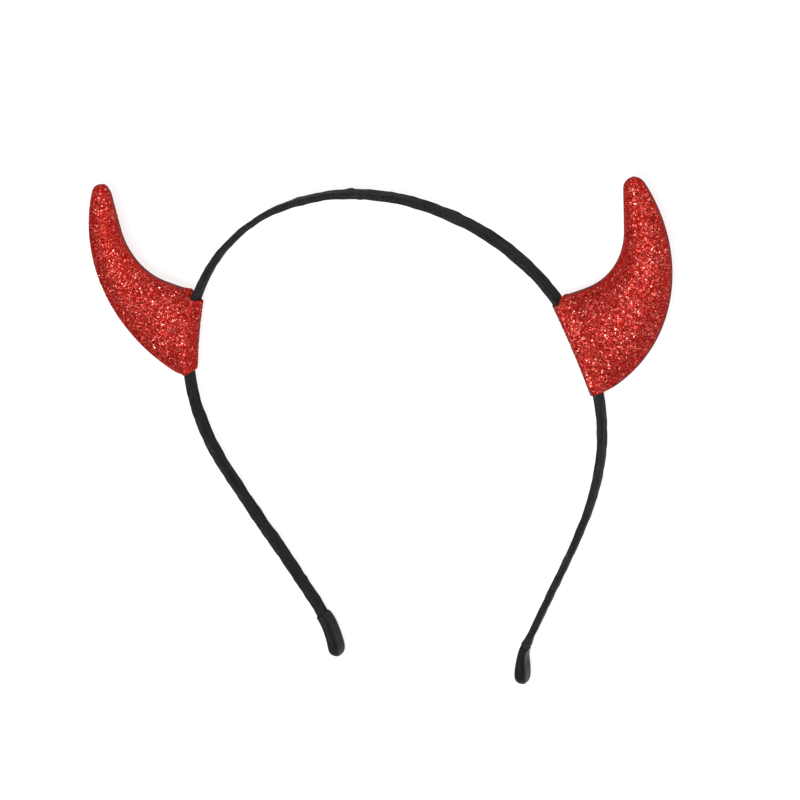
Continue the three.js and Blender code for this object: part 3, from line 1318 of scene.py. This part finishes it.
    @staticmethod
    def matched(mesh: Mesh, points: Array, firm: Array) -> Array:
        """Finds how firmly each point of the joined mesh is held.

        Args:
            mesh: The mesh after its shared points were joined.
            points: The points before that.
            firm: How firmly each of those is held.

        Returns:
            A value for each point of the mesh.
        """
        before = np.round(points.reshape(-1, 3) / MM, DECIMALS)
        after = np.round(coordinates(mesh) / MM, DECIMALS)
        known = {tuple(point): value for point, value in zip(before, firm.ravel(), strict=True)}
        return np.array([known.get(tuple(point), 1.0) for point in after])


# The glitter


@dataclass
class Glitter:
    """Foil flakes stuck all over the outside of a horn, fewer and flatter along its joined edges."""

    horn: Horn
    hollow_margin: float
    full_margin: float
    count: int = 25000
    smallest: float = 0.36
    largest: float = 0.88
    fineness: int = 2
    corner_reach: Pair = (0.8, 1.25)
    root: float = 0.1
    lift: float = 0.04
    least_lift: float = 0.5
    tilt: float = 0.26
    edge_tilt: float = 0.12
    bare: float = 0.3
    edge_share: float = 0.12
    fold_share: float = 0.25
    fold_turn: float = 2.0
    floor_gap: float = 0.12
    lowest: float = 0.02
    seed: int = 11

    @staticmethod
    def distance(points: Array, places: Array) -> Array:
        """Measures how far places are from the nearest of some points.

        Args:
            points: The points.
            places: The places.

        Returns:
            A distance in mm for each place.
        """
        tree = KDTree(len(points))
        for index, point in enumerate(points):
            tree.insert(point, index)
        tree.balance()
        return np.array([tree.find(place)[2] for place in places]) / MM

    def scatter(self, mesh: Mesh, random: np.random.Generator) -> tuple[Array, Array, Array]:
        """Picks places on the glittered faces.

        Args:
            mesh: The horn's mesh.
            random: The source of chance.

        Returns:
            The places, the surface's directions there, and how far from the edges they count, from 0 to 1.
        """
        mesh.calc_loop_triangles()
        corners = np.array([triangle.vertices[:] for triangle in mesh.loop_triangles])
        slots = np.array([triangle.material_index for triangle in mesh.loop_triangles])
        corners = corners[slots == Cloth.GLITTER.value]
        points = coordinates(mesh)
        normals = coordinates(mesh, "normal")
        a, b, c = (points[corners[:, index]] for index in range(3))
        area = np.linalg.norm(np.cross(b - a, c - a), axis=1)
        chosen = corners[random.choice(len(corners), self.count, p=area / area.sum())]
        u, v = random.random((2, self.count))
        flip = u + v > 1
        u[flip], v[flip] = 1 - u[flip], 1 - v[flip]
        weights = np.column_stack([1 - u - v, u, v])[..., None]
        places = (points[chosen] * weights).sum(axis=1)
        facing = unit((normals[chosen] * weights).sum(axis=1))
        cut = [face.vertices for face in mesh.polygons if face.material_index == Cloth.CUT.value]
        gap = self.distance(points[sorted({index for vertices in cut for index in vertices})], places)
        inside = np.ones(self.count)
        for line, margin in zip(self.horn.rim_lines(), (self.full_margin, self.hollow_margin), strict=True):
            inside *= smooth_step((self.distance(line, places) - self.bare) / margin)
        inwards = np.append(-self.horn.sleeve_frame()[2], 0.0)
        folded = smooth_step(self.fold_turn * facing @ inwards)
        inside *= 1.0 - (1.0 - self.fold_share) * folded
        kept = random.random(self.count) < self.edge_share + (1 - self.edge_share) * inside
        kept &= (gap > self.bare) & (places[:, 2] > self.floor_gap * MM)
        return places[kept], facing[kept], inside[kept]

    def build(self, piece: Object, foil: Material) -> Object:
        """Builds the flakes of a horn as one mesh of closed three-cornered chips.

        Args:
            piece: The finished horn's piece.
            foil: The flakes' finish.

        Returns:
            The glitter's piece.
        """
        random = np.random.default_rng(self.seed + self.horn.side.value)
        places, facing, inside = self.scatter(piece.data, random)
        count = len(places)
        tilt = self.edge_tilt + (self.tilt - self.edge_tilt) * inside
        up = unit(facing + tilt[:, None] * random.standard_normal((count, 3)))
        across = unit(np.cross(up, random.standard_normal((count, 3))))
        beside = np.cross(up, across)
        growth = random.random(count) ** self.fineness
        size = MM * (self.smallest + (self.largest - self.smallest) * growth) / 2
        middle = places + up * (self.lift * MM * (self.least_lift + random.random(count)))[:, None]
        corners = []
        for angle in 2 * math.pi * np.arange(3) / 3:
            reach = (size * random.uniform(*self.corner_reach, count))[:, None]
            corners.append(middle + reach * (math.cos(angle) * across + math.sin(angle) * beside))
        corners.append(middle - up * (self.root * MM))
        points = np.stack(corners, axis=1)
        points[..., 2] = np.maximum(points[..., 2], self.lowest * MM)
        chip = np.array([[0, 1, 2], [1, 0, 3], [2, 1, 3], [0, 2, 3]])
        faces = (np.arange(count)[:, None, None] * len(chip) + chip).reshape(-1, 3)
        name = f"{self.horn.side.word}_glitter"
        mesh = bpy.data.meshes.new(name)
        mesh.from_pydata(points.reshape(-1, 3).tolist(), [], faces.tolist())
        tones = random.random(count)
        tone = mesh.attributes.new(TONE, "FLOAT", "POINT")
        tone.data.foreach_set("value", np.repeat(tones, len(chip)).astype(np.float32))
        self.map_flakes(mesh, tones)
        return add_piece(name, mesh, [foil])

    @staticmethod
    def map_flakes(mesh: Mesh, tones: Array) -> None:
        """Gives each flake its own small patch of a map, in the order of their tones.

        Args:
            mesh: The flakes' mesh.
            tones: The flakes' tones.
        """
        side = math.ceil(math.sqrt(len(tones)))
        rank = np.argsort(np.argsort(tones))
        cell = np.column_stack([rank % side, rank // side])
        patch = np.array([(0.1, 0.1), (0.9, 0.1), (0.5, 0.9)])
        spots = (cell[:, None, None, :] + np.tile(patch, (4, 1, 1))[None]) / side
        layer = mesh.uv_layers.new(name=BAKE_MAP)
        layer.data.foreach_set("uv", spots.ravel())


# The studio


@dataclass(frozen=True)
class Lamp:
    """A square soft light: where it stands and its side, in metres, and its power."""

    name: str
    place: Triple
    side: float
    power: float


@dataclass
class Studio:
    """A pale floor, soft lights turned to the headband, and the camera."""

    floor_side: float = 8.0
    ambient: float = 0.62
    backdrop: float = 1.0
    lamps: tuple[Lamp, ...] = (
        Lamp("over_right", (0.26, 0.05, 0.9), 0.26, 1.9),
        Lamp("over_left", (-0.12, -0.12, 0.93), 0.26, 3.5),
        Lamp("upper_right", (0.6, 0.6, 0.36), 0.4, 1.3),
    )
    camera_place: Triple = (0.23631, 0.20486, 0.44466)
    camera_right: Triple = (0.9004, -0.1061, -0.4219)
    camera_up: Triple = (-0.0658, 0.9254, -0.3732)
    camera_back: Triple = (0.4301, 0.3638, 0.8262)
    lens: float = 82.33
    sensor: float = 36.0
    nearest: float = 0.01

    def build(self) -> None:
        """Builds the floor, the lights and the camera."""
        self.add_floor()
        self.add_world()
        for lamp in self.lamps:
            self.add_lamp(lamp)
        self.add_camera()
        view = bpy.context.scene.view_settings
        view.view_transform = "Standard"
        view.look = "None"

    def add_floor(self) -> None:
        """Lays the floor at the resting height."""
        half = self.floor_side / 2
        corners = [(-half, -half, 0), (half, -half, 0), (half, half, 0), (-half, half, 0)]
        mesh = bpy.data.meshes.new("floor")
        mesh.from_pydata(corners, [], [(0, 1, 2, 3)])
        floor = add_object("floor", mesh, [FloorFinish().make()])

    def add_world(self) -> None:
        """Sets the light from all round, with a white backdrop behind the floor."""
        world = bpy.data.worlds.new("studio")
        bpy.context.scene.world = world
        shader = Shader(world)
        around, behind = (
            shader.node("ShaderNodeBackground", None, {"Color": WHITE, "Strength": strength})
            for strength in (self.ambient, self.backdrop)
        )
        seen = shader.node("ShaderNodeLightPath", None, None, "Is Camera Ray")
        choice = shader.node("ShaderNodeMixShader", None, {0: seen, 1: around, 2: behind})
        shader.node("ShaderNodeOutputWorld", None, {"Surface": choice})

    def add_lamp(self, lamp: Lamp) -> None:
        """Hangs one soft light.

        Args:
            lamp: The light.
        """
        light = bpy.data.lights.new(lamp.name, "AREA")
        light.shape = "SQUARE"
        light.size = lamp.side
        light.energy = lamp.power
        holder = add_object(lamp.name, light)
        holder.location = lamp.place
        holder.rotation_mode = "QUATERNION"
        holder.rotation_quaternion = (-Vector(lamp.place)).to_track_quat("-Z", "Y")

    def add_camera(self) -> None:
        """Sets up the camera."""
        data = bpy.data.cameras.new("camera")
        data.lens = self.lens
        data.sensor_width = self.sensor
        data.clip_start = self.nearest
        camera = add_object("camera", data)
        columns = (self.camera_right, self.camera_up, self.camera_back, self.camera_place)
        rows = [[column[index] for column in columns] for index in range(3)]
        camera.matrix_world = Matrix([*rows, [0.0, 0.0, 0.0, 1.0]])
        bpy.context.scene.camera = camera


def main() -> None:
    """Builds the headband's pieces in order, and the studio round them."""
    logging.basicConfig(level=logging.INFO, format="%(name)s: %(message)s")
    line = BandLine()
    resting = Resting()
    Studio().build()
    band = CoveredBand(line, resting).build(SatinFinish())
    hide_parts("band")
    EndCap(Side.LEFT, line, resting, LEFT_CAP, slant=0.3, end_slant=0.65).build(RUBBER)
    EndCap(Side.RIGHT, line, resting, RIGHT_CAP, slant=1.0, end_slant=0.95).build(RUBBER)
    cloth = GlitterClothFinish().make()
    # The felt of the cut edges, which also paints the shade strip on each horn's fold
    cut = FELT_AND_FOLD_SHADE.make()
    foil = FlakeFinish().make()
    # Each horn's fold carries a strip of painted shade, on its rear on the left and on its front on the
    # right
    left = Horn(
        Side.LEFT, line, resting, sleeve_top=71.3, sleeve_bottom=97.0, lean=-2.0,
        front_lip=1.5, fold_rise=2.5, fold_shade_rings=(1, 3), fold_bow=1.0,
        outline=HornOutline(
            lower_corner=(1.2, -12.8), belly_start=math.radians(-75.0), outer_middle=(-5.85, 29.0),
            crest_radius=18.8, tip_radius=3.65,
            tip_angle=math.radians(12.4), tip_halfway=math.radians(96.0),
        ),
    )
    right = Horn(
        Side.RIGHT, line, resting, sleeve_top=69.0, sleeve_bottom=96.0, lean=1.1,
        upper_lip=1.3, fold_bow=0.85,
        outline=HornOutline(
            upper_corner=(1.2, 15.8), lower_corner=(2.0, -13.2), belly_start=math.radians(-74.5),
            outer_middle=(-6.35, 29.4), crest_radius=18.8, tip_radius=3.3, tip_angle=math.radians(10.15),
        ),
    )
    glitters = (
        Glitter(left, hollow_margin=0.6, full_margin=6.0),
        Glitter(right, hollow_margin=3.0, full_margin=2.2),
    )
    for glitter in glitters:
        piece = glitter.horn.build(cloth, cut)
        glitter.build(piece, foil)


if __name__ == "__main__":
    main()
